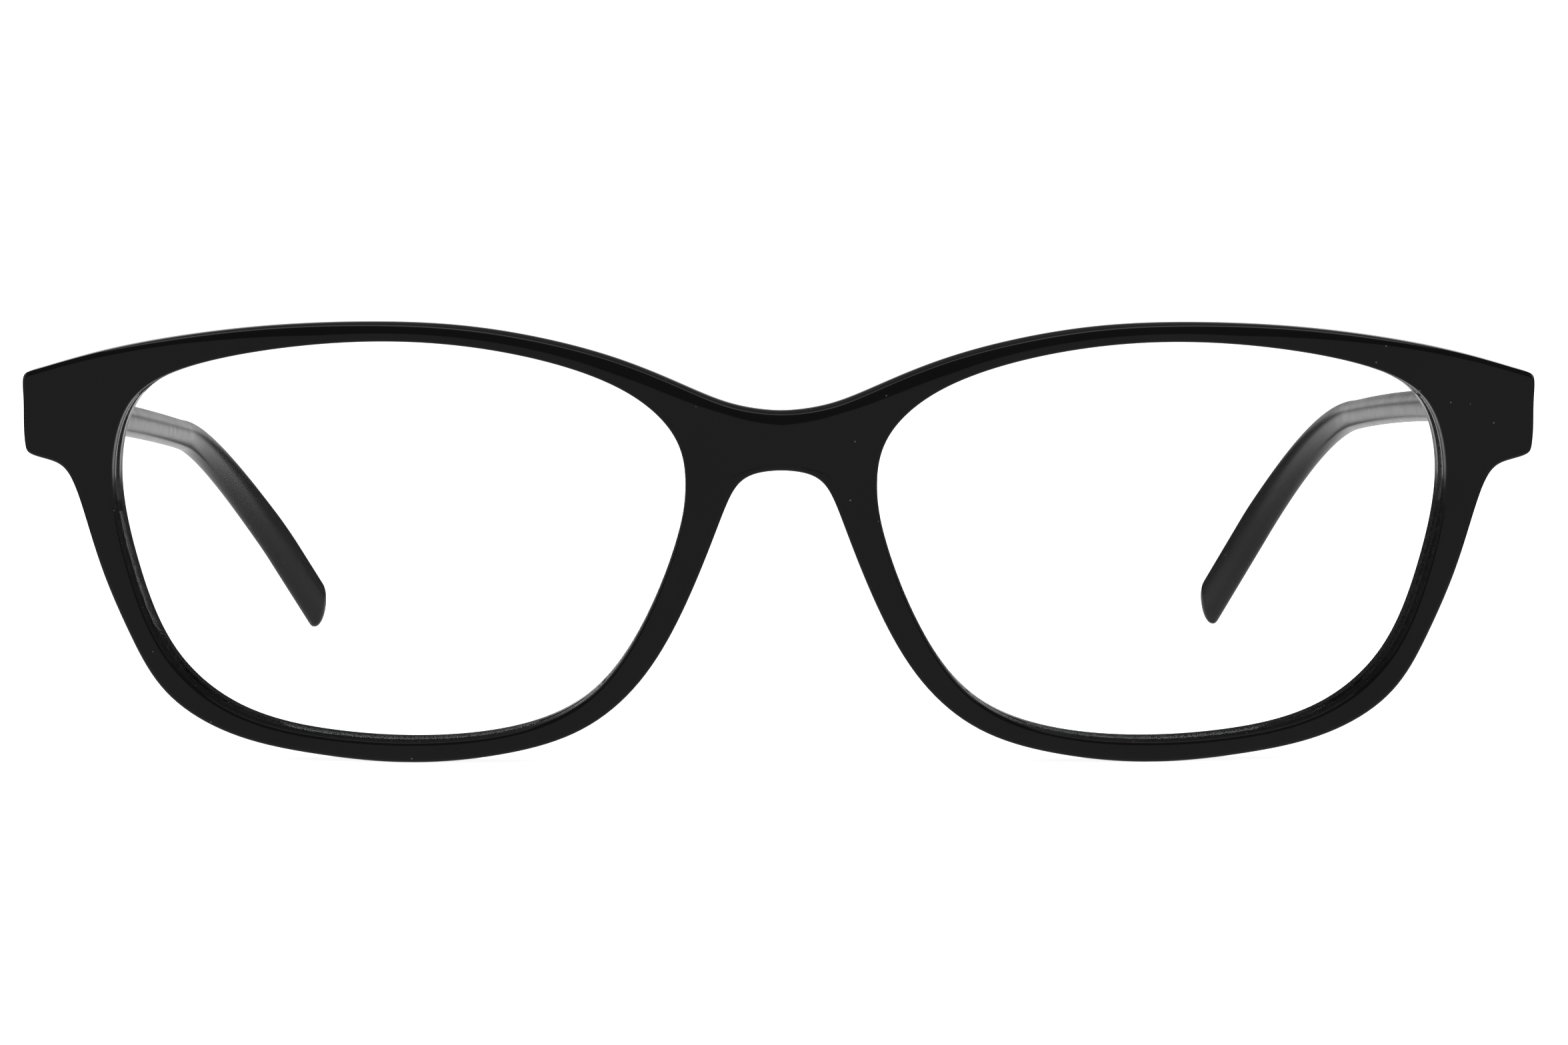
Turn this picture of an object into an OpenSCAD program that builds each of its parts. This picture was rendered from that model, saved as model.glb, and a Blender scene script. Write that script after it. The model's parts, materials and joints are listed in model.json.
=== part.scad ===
// Pair of eyeglasses: full-rim acetate front, two clear lenses, two glued nose pads and two
// folding temples on five-knuckle barrel hinges. Millimetres. The glasses stand open on z = 0
// on the bottoms of the rims and the tips of the temples; the front faces -Y.
// Everything is drawn in a wearing frame (y back along the temples) and then tipped to stand.

/* [Front] */
// Width of the front, end to end, measured along its curve
front_width = 139.2; // [116:0.1:168]
// Height of the front from the lowest to the highest edge
front_height = 40.3; // [33:0.1:49]
// Thickness of the acetate front
front_thickness = 4.0; // [3.2:0.1:5]
// Radius of the wrap of the front, seen from above
front_radius = 392; // [320:1:480]
// Tilt of the front towards the temples, top forward
front_tilt = 8.7; // [6:0.1:11]
// Width of the polished round on the front edges
edge_round = 0.45; // [0.3:0.05:0.6]
// Depth of the groove that holds each lens
groove_depth = 0.5; // [0.4:0.05:0.7]

/* [Lenses] */
// Edge thickness of the lenses
lens_thickness = 1.8; // [1.4:0.1:2.2]
// Forward bulge of the lenses at their centre
lens_bulge = 1.0; // [0.4:0.1:1.6]

/* [Nose pads] */
// Height of the nose pads behind the front
pad_depth = 3.6; // [2.6:0.1:4.6]

/* [Temples] */
// Length along a temple from the joint to the start of the bend
temple_straight = 86; // [72:0.5:104]
// Length of the bent end of a temple
temple_hook = 49; // [41:0.5:59]
// Height of a temple along its slim stretch
temple_height = 3.2; // [2.7:0.1:3.9]
// Height of a temple at its tip
temple_tip = 4.0; // [3.4:0.1:4.8]
// Thickness of a temple
temple_thickness = 2.6; // [2.2:0.1:3.1]
// Height of a temple at the joint
temple_root = 7.2; // [6:0.1:8.4]
// Radius of the wire core
core_r = 0.6; // [0.5:0.05:0.7]

/* [Hinges] */
// Outer radius of the hinge knuckles
knuckle_r = 1.3; // [1.1:0.05:1.55]
// Height of one hinge knuckle
knuckle_h = 1.04; // [0.9:0.02:1.2]
// Radius of the hinge screw
screw_r = 0.6; // [0.5:0.05:0.7]

/* [Hidden] */
eps = 0.01;
// clearances: lens in its groove, joint between front and temple, running and sliding fits
lens_fit = 0.05;
joint_gap = 0.15;
knuckle_gap = 0.08;
screw_run = 0.04;
screw_seat = 0.02;
inlay_fit = 0.02;
// how far each hinge leaf stands out of the acetate
leaf_proud = 0.06;

// outline scale: the control points below are drawn for these two sizes
su = front_width / 139.2;
sv = front_height / 40.3;

// half of the outer edge, from the top of the bridge round the endpiece to its underside
edge_half = [
  [1.2, 9.8], [5.0, 10.4], [9.4, 12.4], [15.0, 14.7], [22.0, 16.5], [30.0, 17.7],
  [39.0, 17.8], [48.0, 17.3], [56.0, 16.2], [62.0, 15.0], [65.9, 13.9], [68.8, 13.0],
  [69.7, 12.8], [69.5, 10.4], [69.6, 8.1], [69.5, 6.0], [69.2, 5.3], [67.3, 4.9],
  [65.4, 4.3], [64.1, 0.5], [62.5, -5.4], [59.9, -11.3], [57.0, -17.0], [50.4, -20.7],
  [42.5, -22.0], [34.0, -22.8], [25.1, -21.8], [17.5, -19.6], [11.7, -14.1], [7.8, -6.0],
  [5.4, 0.5], [4.0, 4.0], [1.3, 4.7]
];
edge_n = len(edge_half);
edge_pts = [for (i = [0:2 * edge_n - 1])
  i < edge_n ? [edge_half[i][0] * su, edge_half[i][1] * sv]
             : [-edge_half[2 * edge_n - 1 - i][0] * su, edge_half[2 * edge_n - 1 - i][1] * sv]];

// lens opening, clockwise from the upper nose corner
eye_pts = [for (p = [
  [9.0, 7.8], [13.7, 12.2], [22.1, 15.0], [32.0, 16.4], [42.0, 16.1], [51.9, 14.5],
  [58.1, 12.3], [60.7, 8.9], [61.7, 2.7], [60.0, -5.0], [57.1, -13.4], [50.5, -18.7],
  [41.9, -20.4], [32.1, -20.8], [23.0, -19.6], [16.4, -16.2], [11.9, -8.8], [9.1, -1.1],
  [8.5, 3.1]]) [p[0] * su, p[1] * sv]];
eye_n = len(eye_pts);

// which point of the opening faces which point of the outer edge
eye_for_edge = [
  [-0.5, -0.2], [2, 0.55], [3, 1.15], [4, 2], [5, 2.8], [6, 3.7], [7, 4.6], [8, 5.5], [9, 6.05],
  [10, 6.35], [12, 6.7], [14, 7.1], [16, 7.4], [18, 7.85], [19, 8.35], [20, 9.05], [21, 9.8],
  [22, 10.5], [23, 11.15], [24, 11.95], [25, 12.8], [26, 13.75], [27, 14.7], [28, 15.55],
  [29, 16.35], [30, 17.1], [31, 17.6], [32.5, 18.1]
];

// closed cubic B-spline and its direction
function spline(c, s) =
  let (n = len(c), i = floor(s), t = s - i,
       a = c[(i + n - 1) % n], b = c[(i + n) % n], d = c[(i + 1) % n], e = c[(i + 2) % n])
  (pow(1 - t, 3) * a + (3 * t * t * t - 6 * t * t + 4) * b
   + (-3 * t * t * t + 3 * t * t + 3 * t + 1) * d + t * t * t * e) / 6;
function spline_out(c, s) =
  let (v = spline(c, s + 0.01) - spline(c, s - 0.01)) [-v[1], v[0]] / norm(v);

// [along the front, up, depth] on the wrapped and tilted front -> wearing frame
function on_curve(u, v, w) =
  let (a = u / front_radius * 180 / PI, r = front_radius - w,
       y = front_radius - r * cos(a), c = cos(front_tilt), s = sin(front_tilt))
  [r * sin(a), y * c - v * s, y * s + v * c];
// y of the back of the front at x, z
function back_y(x, z) =
  (front_radius - sqrt(pow(front_radius - front_thickness, 2) - x * x)) / cos(front_tilt)
  - z * tan(front_tilt);
function smooth(x) = let (t = min(1, max(0, x))) t * t * (3 - 2 * t);

// ring of sections: n sections of m points each, closed both ways -> triangles
function ring_faces(n, m, skip_from, skip_to, wall_from, wall_to) =
  [for (i = [0:n - 1], j = [0:m - 1])
    let (k = (i + 1) % n, l = (j + 1) % m)
    if (!(i >= skip_from && i < skip_to && j >= wall_from && j < wall_to))
      each [[i * m + j, k * m + j, i * m + l], [i * m + l, k * m + j, k * m + l]]];
// open tube of sections with a flat fan over each end
function tube_faces(n, m) = concat(
  [for (i = [0:n - 2], j = [0:m - 1])
    let (l = (j + 1) % m)
    each [[i * m + j, i * m + l, (i + 1) * m + j],
          [i * m + l, (i + 1) * m + l, (i + 1) * m + j]]],
  [for (j = [1:m - 2]) [0, j + 1, j]],
  [for (j = [1:m - 2]) [(n - 1) * m, (n - 1) * m + j, (n - 1) * m + j + 1]]);

// ---- front ----
edge_steps = 3 * edge_n;
mid_steps = 4;
ring_n = edge_steps + mid_steps;
groove_w = front_thickness * 0.5;
groove_half = 0.6;
b1 = edge_round;
b2 = edge_round * 0.28;
c1 = edge_round * 0.75;
// section points: [from the opening outwards, depth]; the last five are on the outer edge
eye_side = [
  [c1, 0], [c1 * 0.28, c1 * 0.28], [0, c1], [0, groove_w - groove_half], [groove_depth, groove_w],
  [0, groove_w + groove_half], [0, front_thickness - c1], [c1, front_thickness]
];
edge_side = [
  [b1, front_thickness], [b2, front_thickness - b2], [0, front_thickness - b1], [0, b1],
  [b2, b2], [b1, 0]
];
ring_m = len(eye_side) + len(edge_side);
function edge_s(i) = i <= edge_steps ? -0.5 + i * edge_n / edge_steps : edge_n - 0.5;
function eye_s(i) = i <= edge_steps
  ? lookup(edge_s(i), eye_for_edge)
  : 18.1 + 0.7 * (i - edge_steps) / mid_steps;
function section(i) =
  let (e = spline(eye_pts, eye_s(i) + eye_n), eo = spline_out(eye_pts, eye_s(i) + eye_n),
       top = spline(edge_pts, -0.5), low = spline(edge_pts, edge_n - 0.5),
       o = i <= edge_steps ? spline(edge_pts, edge_s(i))
         : low + (top - low) * (i - edge_steps) / mid_steps,
       oo = i <= edge_steps ? spline_out(edge_pts, edge_s(i)) : [0, 0])
  concat(
    [for (p = eye_side) let (q = e + eo * p[0]) on_curve(q[0], q[1], p[1])],
    [for (p = edge_side)
      let (q = o - oo * p[0]) on_curve(i == 0 || i >= edge_steps ? 0 : q[0], q[1], p[1])]);
front_pts = [for (i = [0:ring_n - 1]) each section(i)];
front_faces = ring_faces(ring_n, ring_m, edge_steps, ring_n, len(eye_side), ring_m - 1);
flip_faces = [for (f = front_faces) [f[0], f[2], f[1]] + [1, 1, 1] * len(front_pts)];
function flipped(pts) = [for (p = pts) [-p[0], p[1], p[2]]];

// ---- hinge position (right-hand side of the viewer; the other side is mirrored) ----
end_x = front_radius * sin(front_width / 2 / front_radius * 180 / PI);
root_x = end_x - 2.15;
stack_h = 5 * knuckle_h + 4 * knuckle_gap;
hinge_x = root_x - temple_thickness / 2 - 0.45 - knuckle_r - 0.65;
hinge_z = 10.4 * sv;
hinge_y = back_y(hinge_x, hinge_z) + stack_h / 2 * tan(front_tilt) + knuckle_r + 0.35;
function knuckle_z(k) = hinge_z - stack_h / 2 + k * (knuckle_h + knuckle_gap);
plate_t = 0.9;
plate_h = stack_h + 0.6;
plate_in = knuckle_r + 0.7;
plate_out = knuckle_r + 0.6;
leaf_inset = 0.934;

// ---- temple path ----
bend_x = end_x - 4;
bend_y = back_y(root_x, hinge_z) + joint_gap + temple_straight;
root_y = bend_y - temple_straight;
drop_angle = 54;
drop_length = temple_hook * 0.77;
toe_angle = 23.4;
toe_length = temple_hook * 0.7;
bend_z = hinge_z + 0.5;
straight_n = 16;
hook_n = 22;
function hook_dir(s) =
  let (f = drop_angle * pow(max(0, min(1, s / drop_length)), 1.4),
       g = toe_angle * max(0, min(1, s / toe_length)))
  [-sin(g), cos(g) * cos(f), -cos(g) * sin(f)];
hook_step = temple_hook / hook_n;
hook_path = [for (i = 0, p = [bend_x, bend_y, bend_z]; i <= hook_n;
                  i = i + 1, p = p + hook_step * hook_dir((i - 0.5) * hook_step)) p];
function straight_point(t) =
  [root_x + (bend_x - root_x) * t, root_y + temple_straight * t,
   hinge_z + (bend_z - hinge_z) * t];
path_pts = concat([for (i = [0:straight_n - 1]) straight_point(pow(i / straight_n, 1.35))],
                  hook_path);
path_n = len(path_pts);
function path_dir(i) =
  let (v = path_pts[min(path_n - 1, i + 1)] - path_pts[max(0, i - 1)]) v / norm(v);
function from_root(i) = path_pts[i][1] - root_y;
function to_tip(i) = (path_n - 1 - i) * hook_step;
function half_height(i) =
  (temple_root + (temple_height - temple_root) * smooth(from_root(i) / 26)
   + (temple_tip - temple_height) * smooth((from_root(i) - 82) / 34)) / 2;
function half_thick(i) =
  (temple_thickness + 0.9 * (1 - smooth(from_root(i) / 26))) / 2;
tip_r = temple_height / 2;
tip_n = 5;
section_n = 20;
function power(x, e) = sign(x) * pow(abs(x), e);
// squarish at the joint, rounder towards the tip
function oval_power(i) = 0.62 + 0.2 * smooth(from_root(i) / 60);
function oval(i, a, b, n) =
  let (d = path_dir(i), e1 = [d[1], -d[0], 0] / norm([d[1], -d[0], 0]), e2 = cross(e1, d),
       e = oval_power(i))
  [for (k = [0:n - 1]) let (t = (k + 0.5) * 360 / n)
    path_pts[i] + e1 * a * power(cos(t), e) + e2 * b * power(sin(t), e)];
// the tip is cut on the slant: its upper side ends before its lower side
slant_run = 9;
function slanted(i, b, pts) =
  let (d = path_dir(i), e1 = [d[1], -d[0], 0] / norm([d[1], -d[0], 0]), e2 = cross(e1, d),
       k = smooth(1 - to_tip(i) / slant_run))
  [for (p = pts) p - d * k * 0.9 * ((p - path_pts[i]) * e2 + b)];
// first section lies on the joint face; the last ones close round the tip
function root_section(shift) = [for (p = oval(0, half_thick(0), half_height(0), section_n))
  [p[0], back_y(p[0], p[2]) + joint_gap + shift, p[2]]];
function tip_section(k) =
  let (t = k * 90 / tip_n, c = max(0.12, cos(t)), i = path_n - 1, d = path_dir(i),
       b = half_height(i))
  [for (p = slanted(i, b, oval(i, half_thick(i) * c, b * c, section_n))) p + d * tip_r * sin(t)];
temple_pts = concat(root_section(0),
  [for (i = [1:path_n - 1])
    let (b = half_height(i)) each slanted(i, b, oval(i, half_thick(i), b, section_n))],
  [for (k = [1:tip_n]) each tip_section(k)]);
temple_rows = path_n + tip_n;

// ---- stance: tip the glasses until rims and temple tips share one level ----
low_pts = concat(front_pts, temple_pts);
function tipped_z(p, a) = -p[1] * sin(a) + p[2] * cos(a);
function tipped_y(p, a) = p[1] * cos(a) + p[2] * sin(a);
function lowest(pts, a) =
  let (z = [for (p = pts) tipped_z(p, a)], m = min(z)) pts[search(m, z)[0]];
function settle(a, n) = n == 0 ? a
  : let (f = lowest(front_pts, a), t = lowest(temple_pts, a))
    settle(atan2(t[2] - f[2], t[1] - f[1]), n - 1);
stance = settle(4, 4);
floor_z = min([for (p = low_pts) tipped_z(p, stance)]);
all_y = [for (p = low_pts) tipped_y(p, stance)];
mid_y = (min(all_y) + max(all_y)) / 2;
module stand() translate([0, -mid_y, -floor_z]) rotate([-stance, 0, 0]) children();
module pair_side(side) stand() mirror([side < 0 ? 1 : 0, 0, 0]) children();
// local frame on the front at u, v: x along it, y back through it, z up it
module at_front(u, v)
  rotate([front_tilt, 0, 0])
    translate([0, front_radius, 0])
      rotate([0, 0, u / front_radius * 180 / PI])
        translate([0, -front_radius, v])
          children();

// leaf let into the back of the endpiece; grow widens it into the pocket that takes it
module front_leaf(grow) {
  v = (hinge_z - hinge_y * sin(front_tilt)) / cos(front_tilt);
  u = front_radius * asin(hinge_x / (front_radius - front_thickness)) * PI / 180 - leaf_inset;
  at_front(u, v)
    translate([-plate_in - grow, front_thickness + leaf_proud - plate_t - grow,
               -plate_h / 2 - grow])
      cube([plate_in + plate_out + 2 * grow, plate_t + grow + (grow > 0 ? 1 : 0),
            plate_h + 2 * grow]);
}
module front_knuckle_arm(k) {
  z = knuckle_z(k);
  y = back_y(hinge_x, z + knuckle_h / 2) - 0.45;
  translate([hinge_x - knuckle_r, y, z])
    cube([knuckle_r + 0.7, hinge_y - y, knuckle_h]);
}
// leaf let into the inner face of the temple
leaf_x = hinge_x + knuckle_r + 0.3;
leaf_y = root_y + 0.5;
leaf_t = 0.95;
leaf_len = 11.3;
module temple_leaf(grow)
  translate([leaf_x - (grow > 0 ? 1.2 : 0), leaf_y - grow, hinge_z - 2.2 - grow])
    cube([leaf_t + grow + (grow > 0 ? 1.2 : 0), leaf_len + 2 * grow, 4.4 + 2 * grow]);
module temple_knuckle_arm(k) {
  y = max(hinge_y - 0.7, leaf_y + 0.05);
  translate([hinge_x, y, knuckle_z(k)])
    cube([knuckle_r + 1, hinge_y + knuckle_r - y, knuckle_h]);
}
module knuckle(k)
  translate([hinge_x, hinge_y, knuckle_z(k)])
    cylinder(r = knuckle_r, h = knuckle_h, $fn = 48);
module screw_hole(k, clear)
  translate([hinge_x, hinge_y, knuckle_z(k) - eps])
    cylinder(r = screw_r + clear, h = knuckle_h + 2 * eps, $fn = 48);

// acetate front: both rims, bridge and endpieces in one piece
module front()
  color([0.06, 0.06, 0.065])
    stand()
      difference() {
        polyhedron(concat(front_pts, flipped(front_pts)), concat(front_faces, flip_faces));
        front_leaf(inlay_fit);
        mirror([1, 0, 0]) front_leaf(inlay_fit);
      }

// clear lens with a V edge that sits in the rim's groove
lens_n = 4 * eye_n;
lens_edge = [
  [-lens_fit, groove_w - lens_thickness / 2], [-lens_fit, groove_w - groove_half],
  [groove_depth - 2 * lens_fit, groove_w], [-lens_fit, groove_w + groove_half],
  [-lens_fit, groove_w + lens_thickness / 2]
];
lens_rings = [0.8, 0.6, 0.4, 0.2];
eye_mid = [35, -1.5];
function lens_ring(grow, w, k) = [for (i = [0:lens_n - 1])
  let (s = i * eye_n / lens_n + eye_n, q = spline(eye_pts, s) + spline_out(eye_pts, s) * grow,
       m = [eye_mid[0] * su, eye_mid[1] * sv], r = m + (q - m) * k)
  on_curve(r[0], r[1], w - lens_bulge * (1 - k * k))];
lens_front_w = groove_w - lens_thickness / 2;
lens_back_w = groove_w + lens_thickness / 2;
lens_pts = concat(
  [for (k = [3:-1:0]) each lens_ring(-lens_fit, lens_front_w, lens_rings[k])],
  [for (p = lens_edge) each lens_ring(p[0], p[1], 1)],
  [for (k = [0:3]) each lens_ring(-lens_fit, lens_back_w, lens_rings[k])],
  [on_curve(eye_mid[0] * su, eye_mid[1] * sv, lens_front_w - lens_bulge),
   on_curve(eye_mid[0] * su, eye_mid[1] * sv, lens_back_w - lens_bulge)]);
lens_rows = 13;
lens_faces = concat(
  [for (i = [0:lens_rows - 2], j = [0:lens_n - 1])
    let (l = (j + 1) % lens_n)
    each [[i * lens_n + j, (i + 1) * lens_n + j, i * lens_n + l],
          [i * lens_n + l, (i + 1) * lens_n + j, (i + 1) * lens_n + l]]],
  [for (j = [0:lens_n - 1]) [lens_rows * lens_n, j, (j + 1) % lens_n]],
  [for (j = [0:lens_n - 1])
    [lens_rows * lens_n + 1, (lens_rows - 1) * lens_n + (j + 1) % lens_n,
     (lens_rows - 1) * lens_n + j]]);
module lens(side)
  color([0.9, 0.95, 1, 0.35])
    pair_side(side)
      polyhedron(lens_pts, lens_faces);

// acetate nose pad glued to the back of the rim beside the nose
pad_n = 14;
pad_shape = [
  [1, 0], [1, 0.25], [0.94, 0.6], [0.78, 0.9], [0.55, 1], [0.34, 0.93], [0.14, 0.72], [0, 0.35],
  [0, 0]
];
function pad_section(i) =
  let (t = i / pad_n, s = 30.9 - 2.5 * t, o = spline(edge_pts, s) - spline_out(edge_pts, s) * 0.6,
       es = lookup(s, eye_for_edge) + eye_n, e = spline(eye_pts, es) + spline_out(eye_pts, es) * 0.5,
       h = 0.12 + 0.88 * pow(max(0, sin(180 * t)), 0.6), m = (o + e) / 2,
       a = m + (o - m) * (0.25 + 0.75 * h), b = m + (e - m) * (0.25 + 0.75 * h))
  [for (p = pad_shape) let (q = a + (b - a) * p[0])
    on_curve(q[0], q[1], front_thickness + inlay_fit + pad_depth * h * (0.75 + 0.25 * t) * p[1])];
module nose_pad(side)
  color([0.06, 0.06, 0.065])
    pair_side(side)
      polyhedron([for (i = [0:pad_n]) each pad_section(i)], tube_faces(pad_n + 1, len(pad_shape)));

// front half of the hinge: leaf and three knuckles
module front_hinge(side)
  color([0.72, 0.72, 0.74])
    pair_side(side)
      difference() {
        union() {
          front_leaf(0);
          for (k = [0:2:4]) front_knuckle_arm(k);
          for (k = [0:2:4]) knuckle(k);
        }
        for (k = [0:2:4]) screw_hole(k, screw_seat);
      }

// screw down through all five knuckles, tight in the front's and free in the temple's
module hinge_screw(side)
  color([0.72, 0.72, 0.74])
    pair_side(side)
      translate([hinge_x, hinge_y, 0])
        difference() {
          union() {
            translate([0, 0, knuckle_z(0)])
              cylinder(r = screw_r, h = stack_h + 0.1, $fn = 48);
            translate([0, 0, knuckle_z(0) + stack_h + 0.02])
              cylinder(r = knuckle_r - 0.2, h = 0.45, $fn = 48);
          }
          translate([-knuckle_r, -0.15, knuckle_z(0) + stack_h + 0.25])
            cube([2 * knuckle_r, 0.3, 1]);
        }

// acetate temple with the pocket for the hinge leaf and the channel for the core
core_end = path_n - 5;
core_n = 12;
core_from = 3;
function core_ring(i, r) = oval(i, r, r, core_n);
core_run = 0.03;
core_head = [leaf_x + leaf_t / 2, leaf_y + leaf_len + 2 * inlay_fit, hinge_z];
first_core = [for (i = [1:path_n - 1]) if (from_root(i) > 18) i][0];
core_way = (core_head - path_pts[first_core]) / norm(core_head - path_pts[first_core]);
function core_start(r, ahead) = [for (k = [0:core_n - 1]) let (t = (k + 0.5) * 360 / core_n)
  core_head + core_way * ahead + [min(r, 0.4) * power(cos(t), 0.62), 0, r * power(sin(t), 0.62)]];
function core_points(r) = concat(core_start(r, 0),
  [for (i = [first_core:core_end]) each core_ring(i, r)]);
core_rows = core_end - first_core + 2;
module temple(side)
  color([0.06, 0.06, 0.065])
    pair_side(side)
      difference() {
        polyhedron(temple_pts, tube_faces(temple_rows, section_n));
        temple_leaf(inlay_fit);
        polyhedron(concat(core_start(core_r + core_run, 0.3), core_points(core_r + core_run)),
                   tube_faces(core_rows + 1, core_n));
      }

// temple half of the hinge: leaf on the inner face and two knuckles
module temple_hinge(side)
  color([0.72, 0.72, 0.74])
    pair_side(side)
      difference() {
        union() {
          temple_leaf(0);
          for (k = [1:2:3]) temple_knuckle_arm(k);
          for (k = [1:2:3]) knuckle(k);
        }
        for (k = [1:2:3]) screw_hole(k, screw_run);
      }

// wire core inside the temple
module temple_core(side)
  color([0.72, 0.72, 0.74])
    pair_side(side)
      polyhedron(core_points(core_r), tube_faces(core_rows, core_n));

front();
lens(-1);  // lens_right
lens(1);  // lens_left
nose_pad(-1);  // nose_pad_right
nose_pad(1);  // nose_pad_left
front_hinge(-1);  // front_hinge_right
front_hinge(1);  // front_hinge_left
hinge_screw(-1);  // hinge_screw_right
hinge_screw(1);  // hinge_screw_left
temple(-1);  // temple_right
temple(1);  // temple_left
temple_hinge(-1);  // temple_hinge_right
temple_hinge(1);  // temple_hinge_left
temple_core(-1);  // temple_core_right
temple_core(1);  // temple_core_left
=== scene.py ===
"""Pair of black full-rim eyeglasses, standing open on a pale floor.

Shapes are worked out in millimetres in a wearing frame: x to the viewer's right, y back along
the temples, z up. row() tips them to stand on the floor and turns millimetres into metres.
"""
import json

import bmesh
import bpy
import numpy as np
from mathutils import Matrix


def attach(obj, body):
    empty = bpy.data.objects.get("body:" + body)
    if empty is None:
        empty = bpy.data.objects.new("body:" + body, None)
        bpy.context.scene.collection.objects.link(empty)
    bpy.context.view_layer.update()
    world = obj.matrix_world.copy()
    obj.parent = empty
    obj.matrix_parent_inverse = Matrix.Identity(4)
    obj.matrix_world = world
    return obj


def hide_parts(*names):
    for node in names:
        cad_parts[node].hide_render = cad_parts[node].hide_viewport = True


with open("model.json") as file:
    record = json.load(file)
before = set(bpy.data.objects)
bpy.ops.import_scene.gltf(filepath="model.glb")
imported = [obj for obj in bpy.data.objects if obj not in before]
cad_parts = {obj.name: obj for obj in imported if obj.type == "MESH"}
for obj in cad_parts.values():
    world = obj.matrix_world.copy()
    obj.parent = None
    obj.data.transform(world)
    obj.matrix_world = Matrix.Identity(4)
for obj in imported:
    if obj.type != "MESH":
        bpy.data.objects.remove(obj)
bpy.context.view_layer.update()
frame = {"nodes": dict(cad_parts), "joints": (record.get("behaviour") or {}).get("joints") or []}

# ---------------------------------------------------------------------------------------------
# Front. One piece of black acetate, milled from sheet with both rims, a saddle bridge and two
# endpieces, bent to a slight wrap, grooved for the lenses, then tumbled and polished so that
# every outer edge is softly rounded while the inner walls stay a little duller.
# ---------------------------------------------------------------------------------------------
wrap_radius = 392.0
front_tilt = np.radians(8.7)
front_thickness = 4.0
groove_depth, groove_half = 0.5, 0.6
outer_deep, eye_round, back_round = 0.45, 0.36, 0.5

half_edge = np.array([
    [1.2, 9.8], [5.0, 10.4], [9.4, 12.4], [15.0, 14.7], [22.0, 16.5], [30.0, 17.7],
    [39.0, 17.8], [48.0, 17.3], [56.0, 16.2], [62.0, 15.0], [65.9, 13.9], [68.8, 13.0],
    [69.7, 12.8], [69.5, 10.4], [69.6, 8.1], [69.5, 6.0], [69.2, 5.3], [67.3, 4.9],
    [65.4, 4.3], [64.1, 0.5], [62.5, -5.4], [59.9, -11.3], [57.0, -17.0], [50.4, -20.7],
    [42.5, -22.0], [34.0, -22.8], [25.1, -21.8], [17.5, -19.6], [11.7, -14.1], [7.8, -6.0],
    [5.4, 0.5], [4.0, 4.0], [1.3, 4.7]])
edge = np.vstack([half_edge, half_edge[::-1] * [-1, 1]])
eye = np.array([
    [9.0, 7.8], [13.7, 12.2], [22.1, 15.0], [32.0, 16.4], [42.0, 16.1], [51.9, 14.5],
    [58.1, 12.3], [60.7, 8.9], [61.7, 2.7], [60.0, -5.0], [57.1, -13.4], [50.5, -18.7],
    [41.9, -20.4], [32.1, -20.8], [23.0, -19.6], [16.4, -16.2], [11.9, -8.8], [9.1, -1.1],
    [8.5, 3.1]])
# which place along the opening faces which place along the outer edge
edge_marks = [-0.5, 2, 3, 4, 5, 6, 7, 8, 9, 10, 12, 14, 16, 18, 19, 20, 21, 22, 23, 24, 25, 26,
              27, 28, 29, 30, 31, 32.5]
eye_marks = [-0.2, 0.55, 1.15, 2, 2.8, 3.7, 4.6, 5.5, 6.05, 6.35, 6.7, 7.1, 7.4, 7.85, 8.35,
             9.05, 9.8, 10.5, 11.15, 11.95, 12.8, 13.75, 14.7, 15.55, 16.35, 17.1, 17.6, 18.1]


def spline(points, s):
    """Closed cubic B-spline: each place is four neighbouring control points, weighted by
    (1-t)^3, 3t^3-6t^2+4, -3t^3+3t^2+3t+1 and t^3, over 6."""
    i = np.floor(s).astype(int)
    t = (s - i)[..., None]
    a, b, c, d = (points[(i + k) % len(points)] for k in (-1, 0, 1, 2))
    return ((1 - t) ** 3 * a + (3 * t**3 - 6 * t**2 + 4) * b
            + (-3 * t**3 + 3 * t**2 + 3 * t + 1) * c + t**3 * d) / 6


def outward(points, s):
    """Unit normal of the clockwise spline: its direction turned a quarter turn to the left."""
    v = spline(points, s + 0.01) - spline(points, s - 0.01)
    return np.stack([-v[..., 1], v[..., 0]], -1) / np.linalg.norm(v, axis=-1)[..., None]


def on_front(u, v, w):
    """Wearing frame from a place on the front: u along its wrap, v up it, w deep into it.
    A cylinder of radius wrap_radius - w, leaned forward at the top by front_tilt."""
    a, r = u / wrap_radius, wrap_radius - w
    y = wrap_radius - r * np.cos(a)
    c, s = np.cos(front_tilt), np.sin(front_tilt)
    return np.stack([r * np.sin(a), y * c - v * s, y * s + v * c], -1)


def back_y(x, z):
    """y of the back of the front at x, z: the same cylinder and lean, solved for y."""
    y = wrap_radius - np.sqrt((wrap_radius - front_thickness) ** 2 - x * x)
    return y / np.cos(front_tilt) - z * np.tan(front_tilt)


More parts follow.
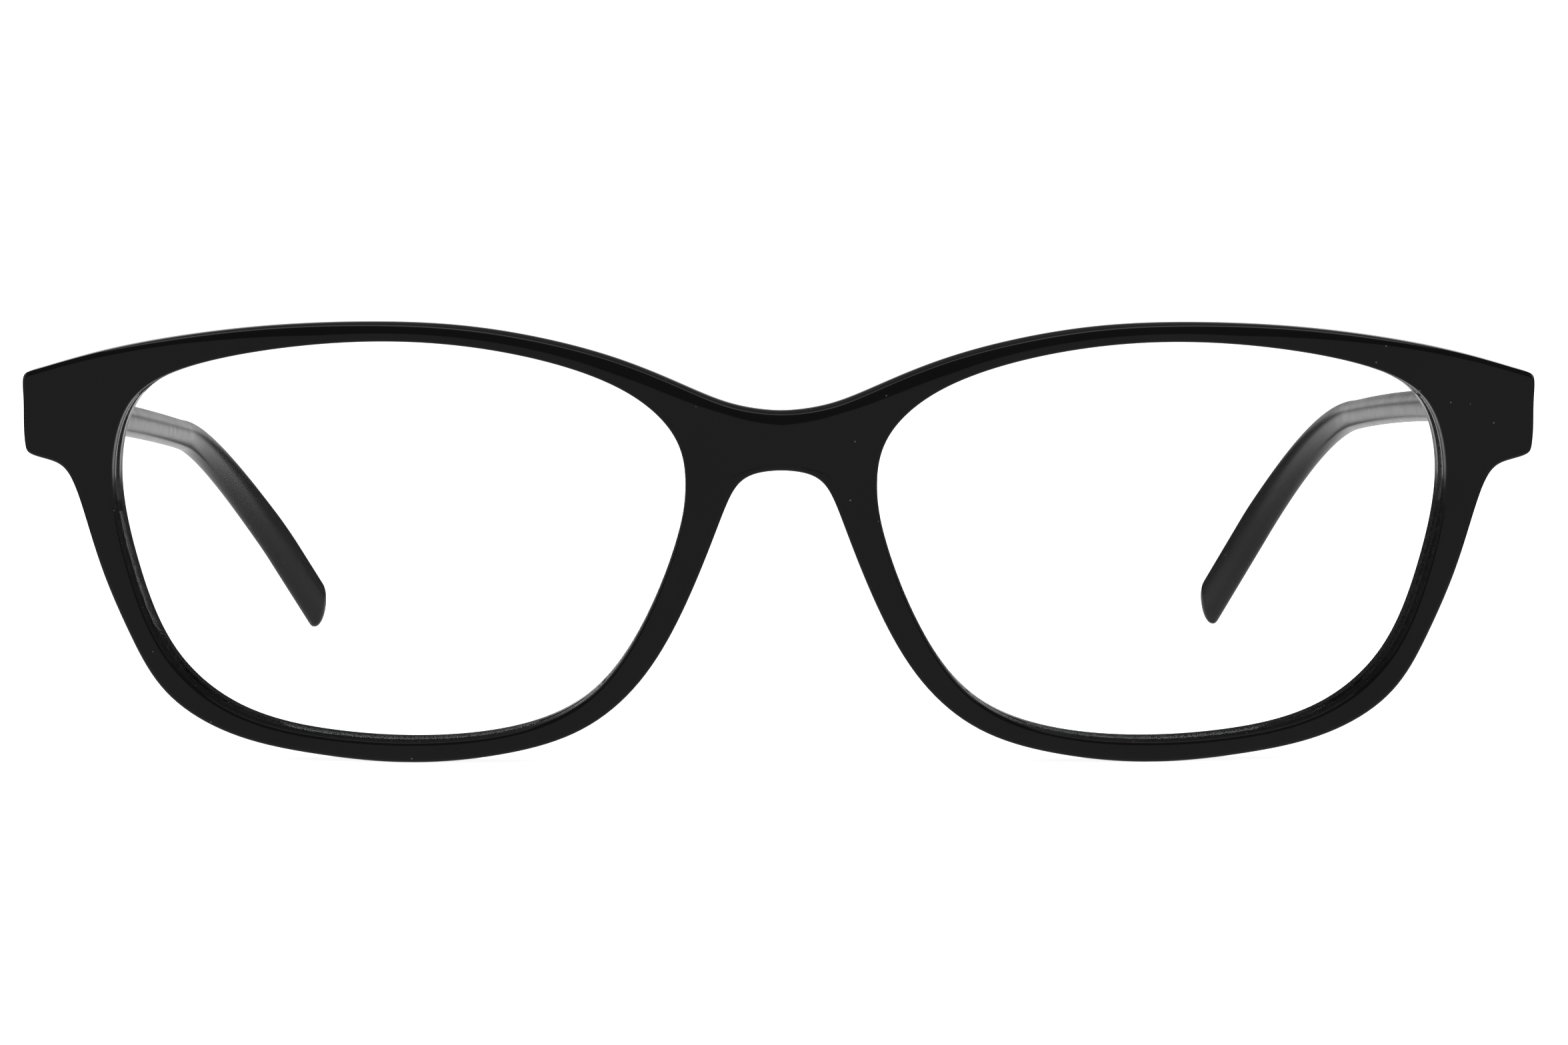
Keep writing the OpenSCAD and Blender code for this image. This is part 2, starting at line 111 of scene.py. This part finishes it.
end_x = wrap_radius * np.sin(69.6 / wrap_radius)
root_x = end_x - 2.15
knuckle_r, knuckle_h, knuckle_gap = 1.3, 1.04, 0.08
stack_h = 5 * knuckle_h + 4 * knuckle_gap
hinge_x = root_x - 1.75 - knuckle_r - 0.65
hinge_z = 10.4
hinge_y = back_y(hinge_x, hinge_z) + stack_h / 2 * np.tan(front_tilt) + knuckle_r + 0.35
fold = next(j for j in frame["joints"] if j["name"] == "left_temple_fold")
tip_c, tip_s = fold["axis"][2], fold["axis"][1]
shift_y = fold["pos_m"][1] * 1000 - (hinge_y * tip_c + hinge_z * tip_s)
shift_z = fold["pos_m"][2] * 1000 - (-hinge_y * tip_s + hinge_z * tip_c)


def row(p):
    """Wearing frame in millimetres to the standing frame in metres: a turn about x, a shift."""
    return np.stack([p[..., 0], p[..., 1] * tip_c + p[..., 2] * tip_s + shift_y,
                     -p[..., 1] * tip_s + p[..., 2] * tip_c + shift_z], -1) / 1000


def soft_corner(across, deep, power, n):
    """Quarter superellipse from a wall to a face: [distance in from the wall, depth]."""
    a = np.linspace(0, np.pi / 2, n)
    return np.stack([across * (1 - np.cos(a) ** (2 / power)),
                     deep * (1 - np.sin(a) ** (2 / power))], -1)


def grid_faces(rows, columns, keep=None):
    """Quads of a grid closed both ways; keep(i, j) leaves out the faces where it is False."""
    i, j = np.meshgrid(np.arange(rows), np.arange(columns), indexing="ij")
    k, m = (i + 1) % rows, (j + 1) % columns
    quads = np.stack([i * columns + j, k * columns + j, k * columns + m, i * columns + m], -1)
    return quads[keep(i, j)] if keep else quads.reshape(-1, 4)


def piece(name, points, faces, material, body, replaced, mirrored=False, marked=None):
    """One mesh object from an (n, 3) array and faces, smooth, sharp over 35 degrees, riding on
    its body. Doubled points are merged; a mirrored piece has its faces turned round. marked
    is a number from 0 to 1 for each point, which the material reads as the attribute marked."""
    if mirrored:
        points, faces = points * [-1, 1, 1], [f[::-1] for f in faces]
    mesh = bpy.data.meshes.new(name)
    mesh.from_pydata(row(points).tolist(), [], [list(map(int, f)) for f in faces])
    if marked is not None:
        mesh.attributes.new("marked", "FLOAT", "POINT").data.foreach_set("value", marked)
    bm = bmesh.new()
    bm.from_mesh(mesh)
    bmesh.ops.remove_doubles(bm, verts=bm.verts, dist=1e-7)
    bm.to_mesh(mesh)
    bm.free()
    mesh.polygons.foreach_set("use_smooth", np.ones(len(mesh.polygons), bool))
    mesh.set_sharp_from_angle(angle=np.radians(35))
    mesh.materials.append(material)
    obj = bpy.data.objects.new(name, mesh)
    bpy.context.scene.collection.objects.link(obj)
    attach(obj, body)
    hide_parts(*replaced)


edge_steps, mid_steps, face_steps = 33 * 9, 14, 5
s_edge = -0.5 + np.arange(edge_steps + 1) * 33 / edge_steps
s_eye = np.interp(s_edge, edge_marks, eye_marks)
mid = np.arange(1, mid_steps) / mid_steps
s_eye = np.concatenate([s_eye, 18.1 + 0.7 * mid]) + len(eye)
rim = spline(eye, s_eye), outward(eye, s_eye)
brow = spline(edge, s_edge), outward(edge, s_edge)

eye_front = soft_corner(eye_round, eye_round, 2.2, 8)[::-1]
eye_back = soft_corner(eye_round, eye_round, 2.5, 7) * [1, -1] + [0, front_thickness]
eye_wall = np.array([[0, 0.75], [0, 2 - groove_half], [groove_depth, 2],
                     [0, 2 + groove_half], [0, 3.2]])
eye_profile = np.vstack([eye_front, eye_wall, eye_back])
edge_back = soft_corner(back_round, back_round, 2.3, 8)[::-1] * [1, -1] + [0, front_thickness]
edge_wall = np.array([[-0.02, 3.1], [-0.05, 2.2], [-0.03, 1.2]])
edge_front = soft_corner(1.0, outer_deep, 2.0, 14)
edge_profile = np.vstack([edge_back, edge_wall, edge_front])
# how far the polished round runs in over the face: wide along the brow, tight at the ends
crown_marks = [-0.5, 1, 2.2, 4, 5.6, 7, 8, 10, 12, 16, 20, 26, 32.5]
crown_widths = [1.3, 0.9, 1.5, 1.6, 1.3, 0.9, 0.6, 0.45, 0.45, 0.45, 0.6, 0.8, 0.7]
bar_width = np.linalg.norm(brow[0] - rim[0][:edge_steps + 1], axis=1)
crown = np.minimum(np.interp(s_edge, crown_marks, crown_widths), bar_width - eye_round - 0.25)
edge_across = np.ones((edge_steps + 1, len(edge_profile)))
edge_across[:, -len(edge_front):] = crown[:, None]
edge_across *= edge_profile[:, 0]


def bridged(a, b):
    """Places in even steps between two rows of places, ends left out."""
    t = (np.arange(1, face_steps) / face_steps)[:, None]
    return a[:, None] * (1 - t) + b[:, None] * t


eye_uv = rim[0][:, None] + rim[1][:, None] * eye_profile[:, :1]
edge_uv = brow[0][:, None] - brow[1][:, None] * edge_across[..., None]
middle = edge_uv[-1] * (1 - mid[:, None, None]) + edge_uv[0] * mid[:, None, None]
edge_uv = np.vstack([edge_uv, middle])
edge_uv[edge_steps:, :, 0] = edge_uv[0, :, 0] = 0
back_uv, face_uv = bridged(eye_uv[:, -1], edge_uv[:, 0]), bridged(edge_uv[:, -1], eye_uv[:, 0])
uv = np.concatenate([eye_uv, back_uv, edge_uv, face_uv], 1)
w = np.concatenate([eye_profile[:, 1], np.full(face_steps - 1, front_thickness),
                    edge_profile[:, 1], np.zeros(face_steps - 1)])
half_front = on_front(uv[..., 0], uv[..., 1], np.broadcast_to(w, uv.shape[:2]))
rows, columns = uv.shape[:2]
wall_from = len(eye_profile) + face_steps - 1
wall_to = wall_from + len(edge_profile) - 1
half_faces = grid_faces(rows, columns,
                        lambda i, j: (i < edge_steps) | (j < wall_from) | (j >= wall_to))
inner_wall = np.zeros(half_front.shape[:2])
inner_wall[:, len(eye_front) - 2:len(eye_profile) - 3] = 1
half_points = half_front.reshape(-1, 3)
front_points = np.vstack([half_points, half_points * [-1, 1, 1]])
front_faces = np.vstack([half_faces, half_faces[:, ::-1] + len(half_points)])


def node(tree, kind, inputs=None, **settings):
    """One shader node with its settings and the constants or links on its inputs."""
    made = tree.nodes.new(kind)
    for key, value in settings.items():
        setattr(made, key, value)
    for key, value in (inputs or {}).items():
        if isinstance(value, bpy.types.NodeSocket):
            tree.links.new(value, made.inputs[key])
        else:
            made.inputs[key].default_value = value
    return made


def new_material(name):
    material = bpy.data.materials.new(name)
    material.use_nodes = True
    tree = material.node_tree
    shader = tree.nodes["Principled BSDF"]
    place = node(tree, "ShaderNodeTexCoord").outputs["Object"]
    return material, tree, shader, place


def noise(tree, place, scale, detail=2.0, roughness=0.5):
    return node(tree, "ShaderNodeTexNoise", {"Vector": place, "Scale": scale, "Detail": detail,
                                             "Roughness": roughness}).outputs["Fac"]


def ramp(tree, value, low, high, to_low=0.0, to_high=1.0):
    return node(tree, "ShaderNodeMapRange", {"Value": value, "From Min": low, "From Max": high,
                                             "To Min": to_low, "To Max": to_high}).outputs[0]


def mix_colour(tree, share, a, b):
    made = node(tree, "ShaderNodeMix", data_type="RGBA")
    for socket, value in ((made.inputs[0], share), (made.inputs[6], a), (made.inputs[7], b)):
        if isinstance(value, bpy.types.NodeSocket):
            tree.links.new(value, socket)
        else:
            socket.default_value = value
    return made.outputs[2]


def bump(tree, shader, height, strength, distance):
    made = node(tree, "ShaderNodeBump", {"Height": height, "Strength": strength,
                                         "Distance": distance})
    tree.links.new(made.outputs[0], shader.inputs["Normal"])


def specks(tree, place, scale, radius):
    """1 inside small balls of that radius, one to each cell of a grid of random points."""
    far = node(tree, "ShaderNodeTexVoronoi", {"Vector": place, "Scale": scale}).outputs["Distance"]
    return ramp(tree, far, radius * scale, radius * scale * 0.6)


def product(tree, a, b):
    return node(tree, "ShaderNodeMath", {0: a, 1: b}, operation="MULTIPLY").outputs[0]


def total(tree, a, b):
    return node(tree, "ShaderNodeMath", {0: a, 1: b}, operation="ADD", use_clamp=True).outputs[0]


def black_acetate(name, polish, shine, tone):
    """Black acetate: near-black with a faint cloudy drift in tone, a fine uneven polish with
    hair scratches and a few dust specks. Marked inner walls are duller and hold more dust.
    polish is its roughness, shine how strongly it mirrors, tone how light the black is."""
    material, tree, shader, place = new_material(name)
    wall = node(tree, "ShaderNodeAttribute", attribute_name="marked").outputs["Fac"]
    cloud = ramp(tree, noise(tree, place, 90.0, 3.0), 0.3, 0.7)
    light = (tone * 1.25, tone * 1.15, tone * 1.3, 1)
    black = mix_colour(tree, cloud, (tone * 0.85, tone * 0.78, tone * 0.9, 1), light)
    haze = ramp(tree, noise(tree, place, 1900.0, 4.0, 0.7), 0.45, 0.75, 0.1, 1.0)
    black = mix_colour(tree, product(tree, wall, haze), black, (0.016, 0.016, 0.017, 1))
    wall_dust = product(tree, wall, specks(tree, place, 900.0, 0.00006))
    dust = total(tree, specks(tree, place, 400.0, 0.00009), wall_dust)
    tree.links.new(mix_colour(tree, dust, black, (0.16, 0.16, 0.16, 1)),
                   shader.inputs["Base Color"])
    rough = ramp(tree, noise(tree, place, 700.0, 4.0, 0.6), 0.3, 0.7, polish, polish + 0.05)
    rough = total(tree, rough, product(tree, wall, ramp(tree, haze, 0.0, 1.0, 0.08, 0.22)))
    tree.links.new(total(tree, rough, product(tree, dust, 0.5)), shader.inputs["Roughness"])
    scratch = node(tree, "ShaderNodeMapping", {"Vector": place, "Scale": (30, 500, 2600),
                                               "Rotation": (0.2, 0.5, 0.35)}).outputs[0]
    height = total(tree, noise(tree, scratch, 1.0, 2.0), product(tree, dust, 2.0))
    bump(tree, shader, height, 0.05, 0.00001)
    shader.inputs["IOR"].default_value = 1.48
    shader.inputs["Specular IOR Level"].default_value = shine
    return material


acetate = black_acetate("black_acetate", 0.05, 0.13, 0.0034)
piece("front_acetate", front_points, front_faces, acetate, "front_body", ["front"],
      marked=np.tile(inner_wall.ravel(), 2))

# ---------------------------------------------------------------------------------------------
# Lenses. Two clear plastic lenses, each a shallow meniscus edged with a V that springs into
# the rim's groove; the coating kills almost every reflection except at a glancing angle.
# ---------------------------------------------------------------------------------------------
lens_thickness, lens_bulge, lens_fit = 1.8, 1.0, 0.05
lens_middle = np.array([35.0, -1.5])
lens_material, tree, shader, place = new_material("coated_lens")
glance = node(tree, "ShaderNodeFresnel", {"IOR": 1.42}).outputs[0]
rim_line = node(tree, "ShaderNodeAttribute", attribute_name="marked").outputs["Fac"]
smear = ramp(tree, noise(tree, place, 55.0, 3.0), 0.45, 0.8, 0.0, 0.002)
clear = ramp(tree, glance, 0.028, 1.0, 0.002, 0.7)
alpha = total(tree, total(tree, clear, smear), product(tree, rim_line, 0.10))
tree.links.new(alpha, shader.inputs["Alpha"])
coating = ramp(tree, glance, 0.03, 0.4)
tree.links.new(mix_colour(tree, coating, (0.58, 0.60, 0.60, 1), (0.92, 0.93, 0.94, 1)),
               shader.inputs["Base Color"])
tree.links.new(ramp(tree, noise(tree, place, 400.0, 2.0), 0.3, 0.7, 0.01, 0.03),
               shader.inputs["Roughness"])
shader.inputs["Metallic"].default_value = 1.0

s_lens = np.arange(19 * 12) / 12 + len(eye)
lens_edge, lens_out = spline(eye, s_lens), outward(eye, s_lens)
lens_rows = []
shrink = np.linspace(0.03, 1, 22)
face_w, rear_w = 2 - lens_thickness / 2, 2 + lens_thickness / 2
for grow, deep, shares in ((-lens_fit, face_w, shrink), (-lens_fit, 2 - groove_half, [1]),
                           (groove_depth - 2 * lens_fit, 2.0, [1]),
                           (-lens_fit, 2 + groove_half, [1]), (-lens_fit, rear_w, shrink[::-1])):
    for k in shares:
        q = lens_middle + (lens_edge + lens_out * grow - lens_middle) * k
        lens_rows.append(on_front(q[:, 0], q[:, 1],
                                  np.full(len(q), deep - lens_bulge * (1 - k * k))))
lens_points = np.array(lens_rows)
rows, columns = lens_points.shape[:2]
bevel = np.zeros((rows, columns))
bevel[len(shrink):len(shrink) + 2] = 1
pole = on_front(*np.array([[35.0, 35.0], [-1.5, -1.5],
                           [face_w - lens_bulge, rear_w - lens_bulge]]))
lens_points = np.vstack([lens_points.reshape(-1, 3), pole])
j = np.arange(columns)
lens_faces = grid_faces(rows, columns, lambda i, j: i < rows - 1).tolist()
lens_faces += np.stack([np.full(columns, rows * columns), j, (j + 1) % columns], -1).tolist()
lens_faces += np.stack([np.full(columns, rows * columns + 1),
                        (rows - 1) * columns + (j + 1) % columns,
                        (rows - 1) * columns + j], -1).tolist()
for side, mirrored in (("left", False), ("right", True)):
    piece(f"lens_{side}_clear", lens_points, lens_faces, lens_material, "front_body",
          [f"lens_{side}"], mirrored, np.append(bevel.ravel(), [0, 0]))

# ---------------------------------------------------------------------------------------------
# Nose pads. Small acetate wedges glued behind the rims beside the nose, filed to splay with
# the nose and polished with the front, so that the joint hardly shows.
# ---------------------------------------------------------------------------------------------
pad_depth = 3.6
t = np.linspace(0, 1, 60)
t = 0.5 - 0.5 * np.cos(np.pi * t)
s = 30.9 - 2.5 * t
outer = spline(edge, s) - outward(edge, s) * 0.6
s = np.interp(s, edge_marks, eye_marks) + len(eye)
inner = spline(eye, s) + outward(eye, s) * 0.5
swell = 0.12 + 0.88 * np.sin(np.pi * t).clip(0) ** 0.6
centre = (outer + inner) / 2
narrow = (0.25 + 0.75 * swell)[:, None]
side_a, side_b = centre + (outer - centre) * narrow, centre + (inner - centre) * narrow
a = np.linspace(0, np.pi, 25)
pad_across = 0.5 + 0.5 * np.cos(a) * (1 - 0.18 * np.sin(a) ** 2)
pad_rise = np.sin(a) ** 0.75
q = side_a[:, None] + (side_b - side_a)[:, None] * pad_across[:, None]
rise = (pad_depth * swell * (0.75 + 0.25 * t))[:, None] * pad_rise
pad_points = on_front(q[..., 0], q[..., 1], front_thickness + 0.02 + rise)
rows, columns = pad_points.shape[:2]
pad_faces = grid_faces(rows, columns, lambda i, j: i < rows - 1).tolist()
pad_faces += [list(range(columns)), [(rows - 1) * columns + k for k in range(columns)][::-1]]
for side, mirrored in (("left", False), ("right", True)):
    piece(f"nose_pad_{side}_acetate", pad_points.reshape(-1, 3), pad_faces, acetate,
          "front_body", [f"nose_pad_{side}"], mirrored)

# ---------------------------------------------------------------------------------------------
# Temples. Slim black acetate arms, deep only where they butt against the endpieces, shot with
# a wire core, polished all round and bent down and inwards behind the ears.
# ---------------------------------------------------------------------------------------------
temple_straight = 86.0
temple_height, temple_tip, temple_thickness, temple_root = 3.2, 4.4, 2.6, 7.2
root_extra, root_taper = 0.9, 31.0
hook_drop, toe_share = 54.0, 0.7
cut_length, cut_slant, tip_round = 8.0, 0.62, 1.6
joint_gap = 0.15
root_y = back_y(root_x, hinge_z) + joint_gap
# bent by hand over heat, so the two differ: where the bend starts, how far the straight bows
# upwards, the hook's length, the share of it over which it drops, how slowly the drop begins,
# and how many degrees it toes in
bends = {"left": ((65.4, 12.0), 0.7, 50.4, 0.74, 1.50, 22.5),
         "right": ((65.1, 9.75), 0.35, 46.4, 0.80, 1.28, 24.4)}


def ease(x):
    x = np.clip(x, 0, 1)
    return x * x * (3 - 2 * x)


def temple_path(bend, bow, hook, drop_share, slowness, toe_in):
    """Centre line: nearly straight from the root to the bend, then steps along a direction
    that drops by hook_drop over drop_share of the hook, as its share to the power slowness,
    and turns in over toe_share of it. Also the unit heading, sideways and upright there."""
    root = np.array([root_x, root_y, hinge_z])
    start = np.array([bend[0], root_y + temple_straight, bend[1]])
    share = np.linspace(0, 1, 70, endpoint=False) ** 1.2
    s = (np.arange(120) + 0.5) / 120
    drop = np.radians(hook_drop) * np.minimum(1, s / drop_share) ** slowness
    toe = np.radians(toe_in) * np.minimum(1, s / toe_share)
    step = np.stack([-np.sin(toe), np.cos(toe) * np.cos(drop), -np.cos(toe) * np.sin(drop)], -1)
    bent = start + np.vstack([[0, 0, 0], np.cumsum(step * hook / 120, 0)])
    straight = root + (start - root) * share[:, None]
    straight[:, 2] += bow * 4 * share * (1 - share)
    path = np.vstack([straight, bent])
    heading = np.gradient(path, axis=0)
    heading /= np.linalg.norm(heading, axis=1)[:, None]
    sideways = np.stack([heading[:, 1], -heading[:, 0], np.zeros(len(path))], -1)
    sideways /= np.linalg.norm(sideways, axis=1)[:, None]
    return path, heading, sideways, np.cross(sideways, heading)


def oval_ring(half_across, half_up, power, count):
    """Superellipse with half_across and half_up as arrays, one ring for each entry."""
    a = (np.arange(count) + 0.5) * 2 * np.pi / count
    x, z = (np.sign(f) * np.abs(f) ** power[:, None] for f in (np.cos(a)[None], np.sin(a)[None]))
    return half_across[:, None] * x, half_up[:, None] * z


def temple_shape(path, heading, sideways, upright):
    """Ovals along the path, squarish at the joint and rounder behind, closed by a flat butt
    end and a soft tip, which is cut on the slant so that its upper side ends first."""
    from_root = path[:, 1] - root_y
    slim = ease(from_root / root_taper)
    half_up = (temple_root + (temple_height - temple_root) * slim
               + (temple_tip - temple_height) * ease((from_root - 82) / 34)) / 2
    half_across = (temple_thickness + root_extra * (1 - slim)) / 2
    turn = np.linspace(0, np.pi / 2, 14)[1:]
    last = np.full(len(turn), len(path) - 1)
    which = np.concatenate([[0] * 5, np.arange(1, len(path)), last])
    size = np.concatenate([[0.0, 0.5, 0.86, 0.95, 1.0], np.ones(len(path) - 1),
                           np.cos(turn).clip(0)])
    ahead = np.concatenate([np.zeros(len(path) + 4), tip_round * np.sin(turn)])
    power = 0.62 + 0.3 * ease(from_root / 60)
    x, z = oval_ring(half_across, half_up, power, 56)
    x, z = x[which] * size[:, None], z[which] * size[:, None]
    length = np.append(0, np.cumsum(np.linalg.norm(np.diff(path, axis=0), axis=1)))
    slant = ease(1 - (length[-1] - length[which]) / cut_length) * cut_slant
    ahead = ahead[:, None] - slant[:, None] * (z + half_up[which, None] - 0.35 * x)
    shape = (path[which, None] + heading[which, None] * ahead[..., None]
             + sideways[which, None] * x[..., None] + upright[which, None] * z[..., None])
    butt = np.array([0, 0, 0, 0.04, 0.22])[:, None]
    shape[:5, :, 1] = back_y(shape[:5, :, 0], shape[:5, :, 2]) + joint_gap + butt
    return shape


# The arms are the front's black acetate, with its tone painted almost three times lighter: painted
# light, standing in for the light that falls on the arms.
temple_acetate_painted_lighter = black_acetate("black_acetate_temple", 0.22, 0.17, 0.0095)
for side, mirrored in (("left", False), ("right", True)):
    temple_points = temple_shape(*temple_path(*bends[side]))
    rows, columns = temple_points.shape[:2]
    piece(f"temple_{side}_acetate", temple_points.reshape(-1, 3),
          grid_faces(rows, columns, lambda i, j: i < rows - 1), temple_acetate_painted_lighter, f"{side}_temple",
          [f"temple_{side}"], mirrored)

# ---------------------------------------------------------------------------------------------
# Hinges, screws and cores. Nickel-silver five-knuckle hinges with their leaves let into the
# acetate, a bright slotted screw through each, and a drawn wire core inside each temple.
# ---------------------------------------------------------------------------------------------
def metal(name, colour, roughness, grain):
    """Satin metal: a drift in tone, fine grain lines along x and uneven roughness."""
    material, tree, shader, place = new_material(name)
    lines = node(tree, "ShaderNodeMapping", {"Vector": place, "Scale": (200, 4000, 4000)})
    streak = noise(tree, lines.outputs[0], 1.0, 3.0)
    dark = tuple(c * 0.72 for c in colour[:3]) + (1,)
    tree.links.new(mix_colour(tree, ramp(tree, noise(tree, place, 900.0, 3.0), 0.3, 0.7),
                              colour, dark), shader.inputs["Base Color"])
    tree.links.new(ramp(tree, streak, 0.3, 0.7, roughness - 0.06, roughness + 0.08),
                   shader.inputs["Roughness"])
    bump(tree, shader, streak, grain, 0.00003)
    shader.inputs["Metallic"].default_value = 1.0
    return material


hinge_metal = metal("hinge_nickel", (0.62, 0.60, 0.57, 1), 0.26, 0.3)
screw_metal = metal("screw_steel", (0.74, 0.74, 0.75, 1), 0.16, 0.1)
core_metal = metal("core_wire", (0.60, 0.60, 0.61, 1), 0.30, 0.3)
for name, obj in frame["nodes"].items():
    for word, material in (("hinge_screw", screw_metal), ("front_hinge", hinge_metal),
                           ("temple_hinge", hinge_metal)):
        if name.startswith(word):
            obj.data.materials.clear()
            obj.data.materials.append(material)

core_r, core_from, core_short, head_flat = 0.6, 18.0, 7.8, 0.66
leaf_x, leaf_t, leaf_y, leaf_len, leaf_gap = hinge_x + knuckle_r + 0.3, 0.95, 0.5, 11.3, 0.04
leaf_end = np.array([leaf_x + leaf_t / 2, root_y + leaf_y + leaf_len + leaf_gap, hinge_z])
for side, mirrored in (("left", False), ("right", True)):
    path, heading, sideways, upright = temple_path(*bends[side])
    length = np.append(0, np.cumsum(np.linalg.norm(np.diff(path, axis=0), axis=1)))
    inside = (path[:, 1] > root_y + core_from) & (length < length[-1] - core_short)
    x, z = oval_ring(np.full(inside.sum(), core_r), np.full(inside.sum(), core_r),
                     np.full(inside.sum(), 0.8), 20)
    wire = (path[inside, None] + sideways[inside, None] * x[..., None]
            + upright[inside, None] * z[..., None])
    head = leaf_end + np.stack([x[0] * head_flat, 0 * x[0], z[0]], -1)
    wire = np.concatenate([head[None], wire])
    wire = np.concatenate([wire[:1].mean(1, keepdims=True).repeat(20, 1), wire,
                           wire[-1:].mean(1, keepdims=True).repeat(20, 1)])
    piece(f"temple_core_{side}_wire", wire.reshape(-1, 3),
          grid_faces(len(wire), 20, lambda i, j: i < len(wire) - 1), core_metal,
          f"{side}_temple", [f"temple_core_{side}"], mirrored)

# ---------------------------------------------------------------------------------------------
# Set. A plain white floor, a white room that the polish mirrors only in part, and soft boxes
# above and at both sides.
# ---------------------------------------------------------------------------------------------
floor_mesh = bpy.data.meshes.new("floor")
floor_mesh.from_pydata([(-6, -6, 0), (6, -6, 0), (6, 6, 0), (-6, 6, 0)], [], [(0, 1, 2, 3)])
floor = bpy.data.objects.new("floor", floor_mesh)
bpy.context.scene.collection.objects.link(floor)
# the floor looks white; what the polish mirrors of it is bright in front and in a strip behind
floor_material, tree, shader, place = new_material("floor_white")
seen = node(tree, "ShaderNodeLightPath").outputs["Is Camera Ray"]
white = mix_colour(tree, noise(tree, place, 3.0), (0.88, 0.88, 0.88, 1), (0.92, 0.92, 0.92, 1))
tree.links.new(mix_colour(tree, seen, (0.12, 0.12, 0.12, 1), white),
               shader.inputs["Base Color"])
shader.inputs["Roughness"].default_value = 0.9
shader.inputs["Specular IOR Level"].default_value = 0.0
shader.inputs["Emission Color"].default_value = (1, 1, 1, 1)
where = node(tree, "ShaderNodeSeparateXYZ", {0: place}).outputs
aside = node(tree, "ShaderNodeMath", {0: where["X"]}, operation="ABSOLUTE").outputs[0]
card = total(tree, ramp(tree, aside, 0.12, 0.08), ramp(tree, where["Y"], -0.02, -0.10))
glow = node(tree, "ShaderNodeMix", {0: seen, 2: card, 3: 0.9}, data_type="FLOAT").outputs[0]
tree.links.new(glow, shader.inputs["Emission Strength"])
floor_mesh.materials.append(floor_material)

# The room is white to look at. What the polish mirrors is a bright low window straight behind
# the glasses, dark cloth round it, and a dim room in front.
world = bpy.data.worlds.new("room")
bpy.context.scene.world = world
world.use_nodes = True
tree = world.node_tree
way = node(tree, "ShaderNodeSeparateXYZ",
           {0: node(tree, "ShaderNodeTexCoord").outputs["Generated"]}).outputs
steep = node(tree, "ShaderNodeMath", {0: way["Z"]}, operation="ABSOLUTE").outputs[0]
aside = node(tree, "ShaderNodeMath", {0: way["X"]}, operation="ABSOLUTE").outputs[0]
behind = ramp(tree, way["Y"], -0.1, 0.3)
glow = product(tree, ramp(tree, aside, 0.34, 0.20), ramp(tree, steep, 0.17, 0.05))
mirrored_light = node(tree, "ShaderNodeMix", {
    0: behind, 2: 0.30, 3: ramp(tree, glow, 0.0, 1.0, 0.05, 1.10)}, data_type="FLOAT").outputs[0]
seen = node(tree, "ShaderNodeLightPath").outputs["Is Camera Ray"]
strength = node(tree, "ShaderNodeMix", {0: seen, 2: mirrored_light, 3: 1.15}, data_type="FLOAT")
tree.links.new(strength.outputs[0], tree.nodes["Background"].inputs["Strength"])
tree.nodes["Background"].inputs["Color"].default_value = (1, 1, 1, 1)


def soft_box(name, place, aim, width, height, watts):
    """Rectangular area light at place, facing aim."""
    light = bpy.data.lights.new(name, "AREA")
    light.shape, light.size, light.size_y, light.energy = "RECTANGLE", width, height, watts
    obj = bpy.data.objects.new(name, light)
    z = np.array(place, float) - aim
    z /= np.linalg.norm(z)
    x = np.cross([0, 1, 0] if abs(z[2]) > 0.9 else [0, 0, 1], z)
    x /= np.linalg.norm(x)
    m = np.eye(4)
    m[:3, 0], m[:3, 1], m[:3, 2], m[:3, 3] = x, np.cross(z, x), z, place
    obj.matrix_world = Matrix(m.tolist())
    bpy.context.scene.collection.objects.link(obj)


soft_box("top_box", (0, 0.1, 1.1), (0, 0, 0), 1.2, 0.8, 9)
soft_box("left_box", (-1.1, 0.0, 0.45), (0, 0, 0.03), 0.6, 0.8, 4)
soft_box("right_box", (1.1, 0.0, 0.45), (0, 0, 0.03), 0.6, 0.8, 4)
bpy.context.scene.view_settings.view_transform = "Standard"

# ---------------------------------------------------------------------------------------------
# Camera. Level with the temples, 420 mm in front of the bridge and a little to its left.
# ---------------------------------------------------------------------------------------------
view_distance, view_shift = 420, 0.24
camera_data = bpy.data.cameras.new("camera")
camera_data.sensor_width = 36.0
camera_data.lens = 106.6
camera_data.clip_start, camera_data.clip_end = 0.01, 50
camera = bpy.data.objects.new("camera", camera_data)
yaw = np.radians(0.9)
place = row(np.array([view_shift - view_distance * np.sin(yaw),
                      -view_distance * np.cos(yaw), 0.0]))
turn = np.array([[1, 0, 0], [0, tip_c, tip_s], [0, -tip_s, tip_c]])
right = turn @ [np.cos(yaw), -np.sin(yaw), 0]
ahead = turn @ [np.sin(yaw), np.cos(yaw), 0]
m = np.eye(4)
m[:3, 0], m[:3, 1], m[:3, 2], m[:3, 3] = right, np.cross(right, ahead), -ahead, place
camera.matrix_world = Matrix(m.tolist())
bpy.context.scene.collection.objects.link(camera)
bpy.context.scene.camera = camera
